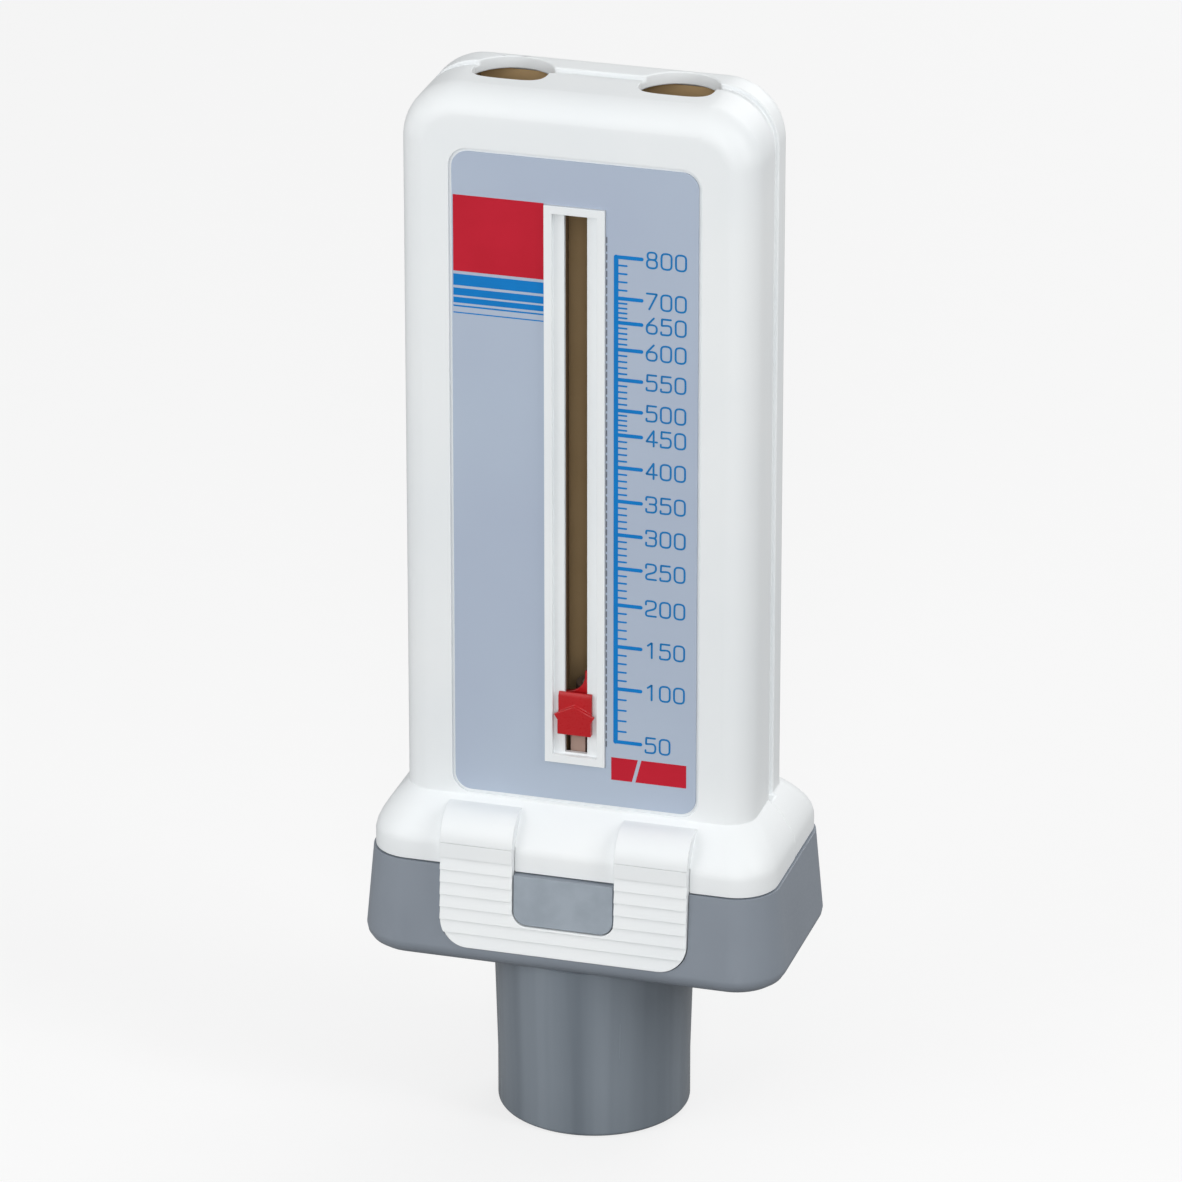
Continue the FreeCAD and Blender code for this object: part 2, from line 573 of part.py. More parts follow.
def casing_shells():
    """Both halves of the housing, cut from one hollow form so that they meet all the way round."""
    padded = fuse("padded_form", casing_form("outer_form", "0"), *clip_pads())
    hollow = cut("hollow_form", padded, casing_form("inner_form", "wall", flats=True))
    ahead = box("ahead", f"-{BEYOND}", BEYOND, f"-{BEYOND}", "part_line", "0", f"casing_top + {PAST}")
    behind = box("behind", f"-{BEYOND}", BEYOND, "part_line", BEYOND, "0", f"casing_top + {PAST}")

    frame = [
        "-frame_half_width", "frame_half_width", f"({FACE} - frame_proud)", LEDGE_BACK,
        "frame_low", FRAME_TOP,
    ]
    recess_side = "(label_half_width + label_margin)"
    recess = slab(
        "label_recess_cut", "XZ", f"{FACE} - {PAST}", f"{FACE} + label_recess",
        rounded(
            f"-{recess_side}", recess_side, "(label_low - label_margin)", f"({LABEL_TOP} + label_margin)",
            "(label_corner + label_margin)",
        ),
    )
    bare = cut("front_bare", cut("front_half", hollow, behind), recess)
    track_side = "(frame_half_width - frame_rim)"
    track_ends = ("(frame_low + frame_rim)", f"({FRAME_TOP} - frame_rim)")
    track = box("pointer_track", f"-{track_side}", track_side, f"{FACE} - {PAST}", TRACK, *track_ends)
    slot = box(
        "pointer_slot", "-slot_half_width", "slot_half_width", f"{FACE} - {PAST}", f"{INSIDE_FRONT} + {PAST}",
        f"{track_ends[0]} + slot_end", f"{track_ends[1]} - slot_end",
    )
    channel = box(
        "keeper_channel", "-keeper_pocket", "keeper_pocket", LEDGE_BACK, f"{INSIDE_FRONT} + {PAST}",
        DUCT_SLOT_LOW, DUCT_SLOT_HIGH,
    )
    framed = fuse(
        "front_framed", bare, box("slot_frame", *frame),
        *at_posts("front_post", "post_half_width", INSIDE_FRONT, "part_line"),
        *at_posts("front_peg", "peg_half_width", "part_line", "part_line + peg_length"),
    )
    front = cut(
        "front_casing", framed, track, slot, channel, latch_room("front_latch_room"), *vents("front_vent"),
    )

    groove_ends = ("part_line", "part_line + groove_width")
    ring = box("groove_ring", f"-{BEYOND}", BEYOND, *groove_ends, "groove_end", f"casing_top + {PAST}")
    groove = cut("groove_cut", ring, slab("groove_core", "XZ", *groove_ends, tall_outline("groove_depth")))
    posted = fuse(
        "rear_posted", cut("rear_half", hollow, ahead),
        *at_posts("rear_post", "post_half_width", "part_line", "-" + INSIDE_FRONT),
    )
    hook_room = box(
        "hook_room", "-hook_half_width - hook_gap", "hook_half_width + hook_gap", "0",
        f"{RIM_HALF_DEPTH} + hook_reach + hook_gap",
        f"{RIM_TOP} - hook_height - hook_gap", f"{RIM_TOP} + hook_gap",
    )
    socket_ends = (f"part_line - {PAST}", "part_line + peg_length + peg_gap")
    sockets = at_posts("socket", "(peg_half_width + peg_gap)", *socket_ends)
    rear = cut("rear_casing", posted, groove, hook_room, *sockets, *vents("rear_vent"))
    return front, rear


def scale_label():
    """Printed film that lies in the recess, open round the slot frame."""
    film = slab(
        "label_film_sheet", "XZ", f"{FACE} + label_recess - label_film", f"{FACE} + label_recess",
        rounded("-label_half_width", "label_half_width", "label_low", LABEL_TOP, "label_corner"),
    )
    opening = box(
        "label_opening", "-frame_half_width - film_gap", "frame_half_width + film_gap",
        f"{FACE} - {PAST}", f"{FACE} + {PAST}", "frame_low - film_gap", f"{FRAME_TOP} + film_gap",
    )
    return cut("scale_label", film, opening)


def channel_outline(extra, low, high):
    """The duct seen from the front: straight at its foot, then widening to its top."""
    foot, top = f"({DUCT_HALF_LOW} + {extra})", f"({duct_half(high)} + {extra})"
    return [
        (foot, low), (foot, "duct_taper_start"), (top, high), (f"-{top}", high),
        (f"-{foot}", "duct_taper_start"), (f"-{foot}", low),
    ]


def top_corners(name):
    """What lies outside the room inside the casing near its top, with the duct's clearance."""
    sides = (f"-{BEYOND}", BEYOND, f"-{BEYOND}", BEYOND)
    around = box(name + "_around", *sides, "casing_top - 2 * casing_corner", "casing_top")
    return cut(name + "_corners", around, tall_form(name + "_room", "(wall + duct_gap)", flats=True))


def lug_places():
    """Where the two screws go: beside the duct's walls, halfway up."""
    side = f"({duct_half(LUG_HEIGHT)} + duct_wall + lug_radius - lug_overlap)"
    return [(side, LUG_HEIGHT), ("-" + side, LUG_HEIGHT)]


def flow_duct():
    """Tapered channel with a closed foot, a sealing flange, rest ledges, screw lugs and the bar that
    holds the top of the rod. Its back is open above the flange, and its top follows the casing's corners."""
    back = f"(-{DUCT_INNER})"
    channel = slab("duct_outer", "XZ", DUCT_FRONT, back, channel_outline("duct_wall", "duct_mouth", DUCT_TOP))
    foot_half = f"({DUCT_HALF_LOW} + duct_wall)"
    foot_sides = (f"-{foot_half}", foot_half, DUCT_FRONT, f"-{DUCT_FRONT}")
    foot = box("duct_foot", *foot_sides, "duct_mouth", FLANGE_TOP)
    flange = slab("duct_flange", "XY", FLANGE_LOW, FLANGE_TOP, skirt_plan("(wall + flange_gap)"))
    lugs = [
        fore_and_aft(f"duct_lug_{number}", "lug_radius", f"{back} - lug_length", back, x, z)
        for number, (x, z) in enumerate(lug_places())
    ]
    solid = cut("duct_solid", fuse("duct_mass", channel, foot, flange, *lugs), top_corners("duct"))
    air = slab("duct_air", "XZ", DUCT_INNER, back, channel_outline("0", "duct_mouth", DUCT_TOP))
    slot = box(
        "duct_slot", "-duct_slot_half_width", "duct_slot_half_width",
        f"{DUCT_FRONT} - {PAST}", f"{DUCT_INNER} + {PAST}", DUCT_SLOT_LOW, DUCT_SLOT_HIGH,
    )
    pilot_ends = (f"{back} - screw_length", f"{back} + {PAST}")
    holes = [
        fore_and_aft(f"pilot_{number}", "screw_radius + screw_gap", *pilot_ends, x, z)
        for number, (x, z) in enumerate(lug_places())
    ]
    stop_top = "(piston_rest + piston_plate - piston_rim - stop_gap)"
    stops = [
        box(f"rest_ledge_{number}", low, high, DUCT_INNER, back, f"{stop_top} - stop_height", stop_top)
        for number, (low, high) in enumerate((
            (f"{DUCT_HALF_LOW} - stop_reach", f"{DUCT_HALF_LOW} + duct_wall / 2"),
            (f"-{DUCT_HALF_LOW} - duct_wall / 2", f"stop_reach - {DUCT_HALF_LOW}"),
        ))
    ]
    bridge = box(
        "rod_bridge", "-bridge_half_width", "bridge_half_width", f"{DUCT_INNER} - duct_wall / 2", back,
        BRIDGE_LOW, BRIDGE_TOP,
    )
    boss = upright("rod_boss", "hub_radius", f"{BUFFER_LOW} + buffer_thickness", BRIDGE_TOP)
    rod_hole = upright("duct_rod_hole", "rod_radius + rod_gap", "piston_rest", DUCT_TOP)
    inside = fuse("duct_inside", cut("duct_channel", solid, air, slot, *holes), *stops, bridge, boss)
    return cut("flow_duct", inside, rod_hole)


def duct_back_plate():
    """Flat cover that closes the channel, with ears over the screw lugs."""
    back, outside = f"(-{DUCT_INNER})", f"(-{DUCT_FRONT})"
    cover = slab("back_plate_sheet", "XZ", back, outside, channel_outline("duct_wall", FLANGE_TOP, DUCT_TOP))
    ears, holes = [], []
    for number, (x, z) in enumerate(lug_places()):
        ears.append(fore_and_aft(f"ear_{number}", "lug_radius", back, outside, x, z))
        hole_ends = (f"{back} - {PAST}", outside)
        holes.append(fore_and_aft(f"ear_hole_{number}", "screw_radius + screw_gap", *hole_ends, x, z))
        holes.append(screw_head(f"pocket_{number}", "screw_head_radius + screw_gap", outside, x, z))
    return cut("duct_back_plate", fuse("back_plate_eared", cover, *ears), top_corners("plate"), *holes)


def screw_head(name, radius, face, x, z):
    """A flat head, or the pocket for it, whose top lies in the face."""
    return fore_and_aft(name, radius, f"{face} - screw_head_height", face, x, z)


def duct_screws():
    face = f"(-{DUCT_FRONT})"
    screws = []
    for number, (x, z) in enumerate(lug_places()):
        ends = (f"{face} - screw_length", f"{face} - screw_head_height")
        shank = fore_and_aft(f"shank_{number}", "screw_radius", *ends, x, z)
        head = screw_head(f"screw_head_{number}", "screw_head_radius", face, x, z)
        screws.append(fuse(f"screw_{number}", shank, head))
    return group("duct_screws", *screws)


def rod_and_clips():
    """Straight rod, held below the grid and above the bar by a push-on clip."""
    clip = "(clip_thickness + rod_end)"
    rod = upright("guide_rod", "rod_radius", f"{GRID_LOW} - {clip}", f"{BRIDGE_TOP} + {clip}")
    clips = []
    for name, low in (("lower_rod_clip", f"{GRID_LOW} - clip_thickness"), ("upper_rod_clip", BRIDGE_TOP)):
        disc = upright(name + "_disc", "clip_radius", low, f"{low} + clip_thickness")
        hole_ends = (f"{low} - {PAST}", f"{low} + clip_thickness + {PAST}")
        clips.append(cut(name, disc, upright(name + "_hole", "rod_radius", *hole_ends)))
    return [rod, *clips]


def inlet_grid():
    """Plate across the duct's mouth: a rim, and a middle bar that holds the rod."""
    side, depth = f"({DUCT_HALF_LOW} + duct_wall)", f"(-{DUCT_FRONT})"
    outline = cornered(f"-{side}", side, f"-{depth}", depth, "duct_wall")
    plate = slab("grid_plate", "XY", GRID_LOW, "duct_mouth", outline)
    inner, reach = f"({side} - grid_rim)", f"({depth} - grid_rim)"
    through = (f"{GRID_LOW} - {PAST}", f"duct_mouth + {PAST}")
    sides = (("right", "grid_bar_half_width", inner), ("left", f"-{inner}", "(-grid_bar_half_width)"))
    openings = [
        slab(f"grid_opening_{name}", "XY", *through, cornered(low, high, f"-{reach}", reach, "duct_wall"))
        for name, low, high in sides
    ]
    hole = upright("grid_rod_hole", "rod_radius + rod_gap", *through)
    return cut("inlet_grid", plate, *openings, hole)


def piston_vane():
    """Light plate with a turned-down rim, a hub round the bearing and the finger that pushes the pointer."""
    half = f"({DUCT_HALF_LOW} - piston_side_gap)"
    depth = f"(-{DUCT_INNER} - piston_face_gap)"
    top = "(piston_rest + piston_plate)"
    outline = cornered(f"-{half}", half, f"-{depth}", depth, "piston_wall")
    cup = slab("vane_cup", "XY", f"{top} - piston_rim", top, outline)
    inner, reach = f"({half} - piston_wall)", f"({depth} - piston_wall)"
    inside = box(
        "vane_inside", f"-{inner}", inner, f"-{reach}", reach, f"{top} - piston_rim - {PAST}", "piston_rest",
    )
    hub = upright("vane_hub", "hub_radius", HUB_LOW, HUB_TOP)
    front = f"({LEDGE_BACK} + pointer_gap * 2)"
    finger = box(
        "drive_finger", "-finger_half_width", "finger_half_width", front, f"{front} + finger_thickness",
        "piston_rest", "pointer_low - push_gap",
    )
    arm_ends = (front, f"piston_wall - {depth}")
    arm = box("drive_arm", "-finger_half_width", "finger_half_width", *arm_ends, "piston_rest", top)
    return cut(
        "piston_vane", fuse("vane_solid", cut("vane_shell", cup, inside), hub, finger, arm),
        upright("vane_bore", "bush_radius", f"{HUB_LOW} - {PAST}", f"{HUB_TOP} + {PAST}"),
    )


def sleeve(name, inner, outer, low, high):
    """A tube along the rod's axis."""
    tube = upright(name + "_tube", outer, low, high)
    return cut(name, tube, upright(name + "_bore", inner, f"{low} - {PAST}", f"{high} + {PAST}"))


def pointer():
    """Plate with a raised arrow, and a neck through the slot."""
    back = f"({TRACK} - pointer_gap)"
    front = f"({back} - pointer_plate)"
    top = "(pointer_low + pointer_height)"
    plate = slab("pointer_plate_solid", "YZ", "-pointer_half_width", "pointer_half_width", [
        (back, "pointer_low"), (back, top), (f"({front} + pointer_bevel)", top),
        (front, f"({top} - 2 * pointer_bevel)"), (front, "pointer_low"),
    ])
    barb, tip = "(pointer_low + arrow_barb)", "(pointer_low + arrow_tip)"
    notch = f"({barb} - arrow_notch)"
    arrow = slab("pointer_arrow", "XZ", f"{front} - arrow_thickness", front, [
        ("-pointer_half_width", "pointer_low"), ("pointer_half_width", "pointer_low"),
        ("pointer_half_width", notch), ("arrow_barb_half_width", barb), ("0", tip),
        ("-arrow_barb_half_width", barb), ("-pointer_half_width", notch),
    ])
    neck_low = "(pointer_low + (pointer_height - neck_height) / 2)"
    neck = box(
        "pointer_neck", "-neck_half_width", "neck_half_width", back, f"{LEDGE_BACK} + pointer_gap",
        neck_low, f"{neck_low} + neck_height",
    )
    return fuse("pointer", plate, arrow, neck)


def pointer_keeper():
    """Plate behind the slot that holds the pointer, with the curved fin that drags on the ledge."""
    front = f"({LEDGE_BACK} + pointer_gap)"
    back = f"({front} + keeper_thickness)"
    sides = ("-keeper_half_width", "keeper_half_width", front, back)
    plate = box("keeper_plate", *sides, "pointer_low", KEEPER_TOP)
    inner = "(leaf_side - leaf_tip)"
    low = f"({KEEPER_TOP} - leaf_root)"
    fin = slab("friction_fin", "XZ", front, back, [
        ("leaf_side", low), ("leaf_side", LEAF_TOP), (inner, LEAF_TOP),
        (inner, f"({KEEPER_TOP} + leaf_round)"),
        (f"({inner} - leaf_round)", KEEPER_TOP, "leaf_round", True), (f"({inner} - leaf_round)", low),
    ])
    return fuse("pointer_keeper", plate, fin)


EDGE_STEPS = 4


def foot_form():
    """The drafted walls of the foot, down to a quarter round along its lower edge."""
    drops = [(BASE_TOP, "0")]
    widest = "(base_height - base_edge_radius) * tan(base_draft)"
    for step in range(EDGE_STEPS + 1):
        angle = 90 * step / EDGE_STEPS
        height = f"(stub_visible + base_edge_radius * (1 - sin({angle:.1f})))"
        drops.append((height, f"({widest} - base_edge_radius * (1 - cos({angle:.1f})))"))
    names = ("skirt_half_width", "skirt_half_depth", "skirt_corner", "skirt_back_corner")
    return stacked("base_foot", [
        [height] + [f"({name} + base_step + {grow})" for name in names] for height, grow in drops
    ])


def base_housing():
    """Tapered foot with a rim that plugs into the casing, the block that the clip catches on, and the
    hook at the back of the rim."""
    rim = slab("base_rim", "XY", f"{BASE_TOP} - {PAST}", RIM_TOP, skirt_plan(RIM_INSET))
    well_outline = skirt_plan(f"({RIM_INSET} + spigot_wall)")
    well = slab("base_well", "XY", FLOOR_TOP, f"{RIM_TOP} + {PAST}", well_outline)
    foot = cut("base_shell", fuse("base_block", foot_form(), rim), well)

    reach, foot_gap = "(latch_window_half_width - catch_gap)", "(latch_bar - latch_length + catch_gap)"
    bend = "(latch_window_corner - catch_gap)"
    block = lean(slab("catch_slab", "XZ", "catch_recess", "catch_recess + wall + spigot_wall", [
        (reach, "0"), (f"-{reach}", "0"), (f"-{reach}", f"({foot_gap} + {bend})"),
        (f"-({reach} - {bend})", foot_gap, bend), (f"({reach} - {bend})", foot_gap),
        (reach, f"({foot_gap} + {bend})", bend),
    ]))
    sides = (f"-{BEYOND}", BEYOND, f"-{BEYOND}", BEYOND)
    above = box("above_base", *sides, BASE_TOP, "casing_top")
    hook = box(
        "rim_hook", "-hook_half_width", "hook_half_width", f"{RIM_HALF_DEPTH} - spigot_wall / 2",
        f"{RIM_HALF_DEPTH} + hook_reach", f"{RIM_TOP} - hook_height", RIM_TOP,
    )
    roomed = cut("base_roomed", foot, latch_room("base_latch_room"))
    whole = fuse("base_whole", roomed, cut("catch_block", block, above), hook)
    hole = upright("stub_hole", "stub_spigot_radius + glue_gap", "0", f"{FLOOR_TOP} + {PAST}")
    return cut("base_housing", whole, hole)


def base_seal():
    """Soft ring on the rim, pressed by the duct's flange."""
    insets = (("seal_outside", "seal_inset"), ("seal_inside", "(spigot_wall - seal_inset)"))
    rings = [
        slab(name, "XY", RIM_TOP, FLANGE_LOW, skirt_plan(f"({RIM_INSET} + {inset})"))
        for name, inset in insets
    ]
    return cut("base_seal", *rings)


def inlet_stub():
    """Turned profile: a tube that is straight at its mouth and then slightly drafted, a step that meets the
    base and a spigot through its floor."""
    body = document.addObject("PartDesign::Body", "inlet_stub")
    wide = "(stub_mouth_radius + (stub_visible - stub_straight) * tan(stub_draft))"
    profile = body_sketch(body, "stub_profile", "XZ_Plane", "0", [
        ("stub_bore_radius", "0"), ("stub_mouth_radius", "0"), ("stub_mouth_radius", "stub_straight"),
        (wide, "stub_visible"),
        ("stub_spigot_radius", "stub_visible"), ("stub_spigot_radius", FLOOR_TOP),
        ("stub_bore_radius", FLOOR_TOP),
    ])
    turned = body.newObject("PartDesign::Revolution", "stub_turned")
    turned.Profile = profile
    turned.ReferenceAxis = (profile, ["V_Axis"])
    turned.Angle = 360
    body.Tip = turned
    return body


front_casing, rear_casing = casing_shells()
spring_ends = ("duct_mouth + spring_gap", f"{HUB_LOW} - spring_gap")
buffer_ends = (BUFFER_LOW, f"{BUFFER_LOW} + buffer_thickness")
pieces = [
    front_casing, rear_casing, scale_label(), flow_duct(), duct_back_plate(), duct_screws(), *rod_and_clips(),
    inlet_grid(), piston_vane(),
    sleeve("piston_bush", "rod_radius + hub_gap", "bush_radius", HUB_LOW, HUB_TOP),
    sleeve("return_spring", "spring_inner_radius", "spring_outer_radius", *spring_ends),
    sleeve("top_buffer", "rod_radius + rod_gap", "hub_radius", *buffer_ends),
    pointer(), pointer_keeper(), base_housing(), inlet_stub(), base_seal(), base_latch(),
]
document.recompute()

faults = [item.Name for item in document.Objects if "Invalid" in item.State or "Error" in item.State]
faults += [item.Label for item in pieces if item.Shape.isNull() or not item.Shape.isValid()]
if faults:
    raise ValueError("these did not build: " + ", ".join(faults))

os.makedirs("parts", exist_ok=True)
for item in pieces:
    item.Shape.exportStep(f"parts/{item.Label}.step")
    print(f"{item.Label}: {len(item.Shape.Solids)} solid, {item.Shape.Volume:.1f} mm3")
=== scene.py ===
import math

import bmesh
import bpy
import numpy as np
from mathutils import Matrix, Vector


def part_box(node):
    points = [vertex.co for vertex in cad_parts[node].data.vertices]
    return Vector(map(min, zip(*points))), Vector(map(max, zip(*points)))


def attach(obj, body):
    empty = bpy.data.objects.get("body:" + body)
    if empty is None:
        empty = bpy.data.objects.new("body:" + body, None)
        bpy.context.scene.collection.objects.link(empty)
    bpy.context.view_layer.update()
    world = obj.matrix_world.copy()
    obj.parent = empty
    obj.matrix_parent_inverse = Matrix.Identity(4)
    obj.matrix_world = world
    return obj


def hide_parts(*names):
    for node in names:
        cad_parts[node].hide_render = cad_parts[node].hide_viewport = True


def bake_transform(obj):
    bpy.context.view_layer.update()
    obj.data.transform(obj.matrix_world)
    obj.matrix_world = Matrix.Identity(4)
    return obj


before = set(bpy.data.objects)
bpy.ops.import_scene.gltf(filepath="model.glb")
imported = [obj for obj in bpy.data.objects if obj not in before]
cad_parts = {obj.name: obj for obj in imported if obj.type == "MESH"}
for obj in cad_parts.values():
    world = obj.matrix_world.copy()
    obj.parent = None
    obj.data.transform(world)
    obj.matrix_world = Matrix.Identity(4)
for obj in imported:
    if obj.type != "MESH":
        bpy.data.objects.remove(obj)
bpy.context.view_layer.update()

# Peak flow meter. Metres, +Z up, the printed face looks along -Y. Sizes below are millimetres.

MM = 0.001


# Materials

def linear(code):
    """An sRGB hex colour as a linear RGBA tuple."""
    shares = [int(code[i:i + 2], 16) / 255 for i in (1, 3, 5)]
    return tuple(s / 12.92 if s <= 0.04045 else ((s + 0.055) / 1.055) ** 2.4 for s in shares) + (1.0,)


def put(tree, kind, settings=(), inputs=()):
    """Adds a node. Settings are (property, value) pairs. Inputs are (socket, value) pairs, where the
    value may be another node's output."""
    item = tree.nodes.new(kind)
    for name, value in settings:
        setattr(item, name, value)
    for name, value in inputs:
        if isinstance(value, bpy.types.NodeSocket):
            tree.links.new(value, item.inputs[name])
        else:
            item.inputs[name].default_value = value
    return item


def blank(name):
    """A new node material with an output and nothing else."""
    made = bpy.data.materials.new(name)
    made.use_nodes = True
    made.node_tree.nodes.clear()
    return made, made.node_tree


def surface_finish(
    name, colour, shade, roughness, cloud, grain, depth, ior=1.5, metal=0.0, stretch=(1, 1, 1),
):
    """A finish with three layers worked out from where the surface lies: wide clouds between two close
    colours, a fine grain that varies the roughness, and the same grain as relief. Cloud, grain and depth
    are real sizes in millimetres. A stretch below 1 draws both patterns out along that axis."""
    made, tree = blank(name)
    place = put(tree, "ShaderNodeTexCoord").outputs["Object"]
    drawn = put(tree, "ShaderNodeMapping", inputs=(("Vector", place), ("Scale", stretch)))
    clouds = put(tree, "ShaderNodeTexNoise", inputs=(
        ("Vector", drawn.outputs["Vector"]), ("Scale", 1 / (cloud * MM)), ("Detail", 3.0),
    ))
    ramp = put(tree, "ShaderNodeValToRGB", inputs=(("Fac", clouds.outputs["Fac"]),))
    for stop, position, code in zip(ramp.color_ramp.elements, (0.35, 0.65), (colour, shade)):
        stop.position = position
        stop.color = linear(code)
    grains = put(tree, "ShaderNodeTexNoise", inputs=(
        ("Vector", drawn.outputs["Vector"]), ("Scale", 1 / (grain * MM)), ("Detail", 2.0),
    ))
    spread = put(tree, "ShaderNodeMapRange", inputs=(
        ("Value", grains.outputs["Fac"]), ("From Min", 0.3), ("From Max", 0.7),
        ("To Min", roughness[0]), ("To Max", roughness[1]),
    ))
    relief = put(tree, "ShaderNodeBump", inputs=(
        ("Strength", 0.5), ("Distance", depth * MM), ("Height", grains.outputs["Fac"]),
    ))
    shader = put(tree, "ShaderNodeBsdfPrincipled", inputs=(
        ("Base Color", ramp.outputs["Color"]), ("Roughness", spread.outputs["Result"]),
        ("Normal", relief.outputs["Normal"]), ("Metallic", metal), ("IOR", ior),
    ))
    put(tree, "ShaderNodeOutputMaterial", inputs=(("Surface", shader.outputs["BSDF"]),))
    return made


# Injection-moulded ABS from a fine spark-eroded mould: a satin white whose highlights are broad and soft.
abs_white = surface_finish("abs_white_satin", "#eef1f2", "#e9edef", (0.42, 0.52), 30, 0.35, 0.006)
# Polyester film printed from behind in a lilac grey: even, with a faint silky grain.
film = surface_finish("polyester_film_lilac_grey", "#b0bdce", "#abb7ca", (0.42, 0.5), 40, 0.25, 0.003)
# Screen ink on the film: porous and matt, so it shines less than the film, with slightly uneven cover.
ink_blue = surface_finish("screen_ink_blue", "#027ac6", "#0476c0", (0.6, 0.7), 4, 0.12, 0.002, ior=1.3)
ink_numerals = surface_finish(
    "screen_ink_thin_blue", "#1676b6", "#1873b2", (0.6, 0.7), 4, 0.12, 0.002, ior=1.3,
)
ink_red = surface_finish("screen_ink_red", "#c01a30", "#bb182d", (0.6, 0.7), 6, 0.12, 0.002, ior=1.3)
ink_grey = surface_finish("screen_ink_grey", "#6d727d", "#666b76", (0.6, 0.7), 4, 0.12, 0.002, ior=1.3)
# Moulded acetal in brown, seen only through the slot and the outlets.
acetal_brown = surface_finish("acetal_brown", "#866b4c", "#7a6145", (0.42, 0.55), 12, 0.3, 0.006, ior=1.48)
# The same acetal in a lighter tan, which is painted light: little light reaches it, so it still looks brown
# in the slot.
acetal_brown_painted_light = surface_finish("acetal_brown_painted_light", "#d0b082", "#c8a87a", (0.42, 0.55), 12, 0.3, 0.006, ior=1.48)
# Undyed acetal with a warm cast, for the piston and its finger, painted darker as painted shade for the
# finger deep in the slot.
acetal_natural_painted_shade = surface_finish("acetal_natural_painted_shade", "#a98f83", "#9f8579", (0.4, 0.5), 8, 0.3, 0.005, ior=1.48)
# Turned fluoropolymer: a waxy ivory.
bush_ivory = surface_finish(
    "turned_fluoropolymer", "#e6e4da", "#dedbd0", (0.35, 0.45), 5, 0.15, 0.002, ior=1.38,
)
# Glossy red ABS with a slight skin from the polished mould.
abs_red = surface_finish("abs_red_gloss", "#b8181f", "#b0161d", (0.26, 0.34), 9, 0.12, 0.002)
# Grey ABS with the same satin texture as the case.
abs_grey = surface_finish("abs_grey_satin", "#89919b", "#838b95", (0.36, 0.46), 25, 0.35, 0.007)
# The catch block has the mould's coarser texture, which scatters more light and looks paler.
abs_grey_coarse = surface_finish("abs_grey_coarse_texture", "#a0aab4", "#97a1ab", (0.5, 0.6), 3, 0.5, 0.03)
# Grey polypropylene from a polished mould, darker than the foot. Its upright bands some 5 mm wide are
# painted reflections.
tube_grey_painted_reflections = surface_finish(
    "polypropylene_grey_polished_painted_reflections", "#848d96", "#6d767f", (0.24, 0.28), 7, 3, 0.002,
    stretch=(1, 1, 0.03),
)
# Cold-drawn spring and rod steel: its fine lines run along the rod.
steel = surface_finish(
    "steel_cold_drawn", "#b9bbbe", "#aeb1b5", (0.24, 0.36), 6, 0.08, 0.002, metal=1.0,
    stretch=(1, 1, 0.06),
)
# Zinc on the spring's wire: a duller, more scattering metal than the bare rod.
spring_wire = surface_finish(
    "spring_wire_zinc", "#cfd2d6", "#c2c6ca", (0.45, 0.6), 3, 0.1, 0.003, metal=1.0,
)
# Nitrile rubber: matt black with a dusty bloom.
rubber = surface_finish("nitrile_rubber", "#2a2b2d", "#343537", (0.7, 0.85), 3, 0.2, 0.01)


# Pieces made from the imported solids

def finish_piece(piece, body, material):
    """Gives a piece its material and the body that it moves with."""
    piece.data.materials.clear()
    piece.data.materials.append(material)
    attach(piece, body)


# An edge that turns less than this is shaded smooth, and faces that turn less than this are one flat.
SMOOTH_BELOW = math.radians(38)
FLAT_BELOW = math.radians(0.3)
WELD = 0.001

# The two outlets in the top: how far apart they are, the hole's radius, where the two shells meet, and the
# half width, front edge and squareness of the flatter front lip.
OUTLET_ACROSS = 24.0
OUTLET_RADIUS = 6.1
PART_LINE = 0.4
MOUTH_HALF = 5.4
MOUTH_FRONT = -3.6
MOUTH_POWER = 0.55
MOUTH_POINTS = 33
ON_RIM = 0.02


def narrow_outlets(work):
    """The front shell's side of each outlet is flatter than the round hole behind it. The hole's wall is
    taken out and a new one put in along x = c + w cos(t)^p, y = line - d sin(t)^p, each power keeping its
    sign, from one end of the line where the shells meet to the other."""
    turn = np.linspace(0, math.pi, MOUTH_POINTS)
    bend = np.sign(np.cos(turn)) * np.abs(np.cos(turn)) ** MOUTH_POWER
    deep = np.abs(np.sin(turn)) ** MOUTH_POWER
    for centre in (-OUTLET_ACROSS / 2, OUTLET_ACROSS / 2):
        rim = {
            corner for corner in work.verts
            if abs(math.hypot(corner.co.x / MM - centre, corner.co.y / MM) - OUTLET_RADIUS) < ON_RIM
        }
        wall = [face for face in work.faces if rim.issuperset(face.verts)]
        bmesh.ops.delete(work, geom=wall, context="FACES_ONLY")
        order = sorted(rim, key=lambda c: math.atan2(c.co.x - centre * MM, -c.co.y), reverse=True)
        middle = sum(corner.co.z for corner in order) / len(order)
        levels = []
        for old in ([c for c in order if c.co.z > middle], [c for c in order if c.co.z < middle]):
            new = [
                work.verts.new((x * MM, y * MM, old[0].co.z))
                for x, y in zip(centre + MOUTH_HALF * bend, PART_LINE + (MOUTH_FRONT - PART_LINE) * deep)
            ]
            work.faces.new(old + new[::-1])
            levels.append((old, new))
        (old_high, new_high), (old_low, new_low) = levels
        for pair in zip(new_high, new_high[1:], new_low[1:], new_low):
            work.faces.new(pair)
        for end in (0, -1):
            work.faces.new((old_high[end], new_high[end], new_low[end], old_low[end]))
    bmesh.ops.recalc_face_normals(work, faces=work.faces)


